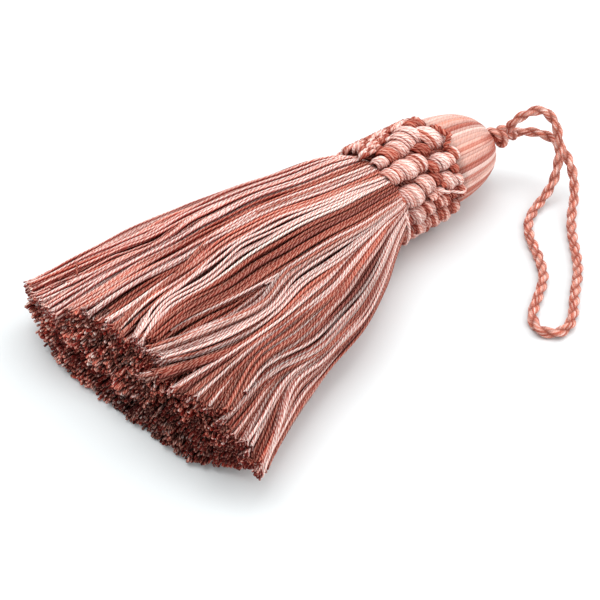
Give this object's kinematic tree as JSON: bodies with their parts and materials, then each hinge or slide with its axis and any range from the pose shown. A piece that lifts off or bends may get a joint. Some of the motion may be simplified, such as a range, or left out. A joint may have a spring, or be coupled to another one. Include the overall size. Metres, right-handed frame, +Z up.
{
  "type": "key tassel",
  "caption": "Key tassel lying flat: fanned and flattened yarn skirt, worked puff collar, yarn-covered domed head, tied knot and hanging loop of twisted cord.",
  "frame": {"origin": "on the surface the tassel lies on, under the middle of its body (skirt, collar, head and knot)", "axes": "+X along the collar and head towards the knot, +Y to the side away from the loop, +Z up from the surface"},
  "size_m": [0.129, 0.0768, 0.0262],
  "materials": {
    "skirt_yarn": "glossy plied yarns in pale pink, salmon and terracotta, mixed in bunches",
    "collar_yarn": "glossy yarn wrapped over padded puffs, pale pink over terracotta",
    "head_yarn": "lengthwise satin yarns in pale pink and terracotta stripes",
    "loop_cord": "tightly twisted salmon and terracotta cord with a soft sheen"
  },
  "bodies": {
    "root": {"skirt": "skirt_yarn", "collar": "collar_yarn", "head": "head_yarn", "knot": "loop_cord", "loop": "loop_cord"}
  },
  "joints": []
}
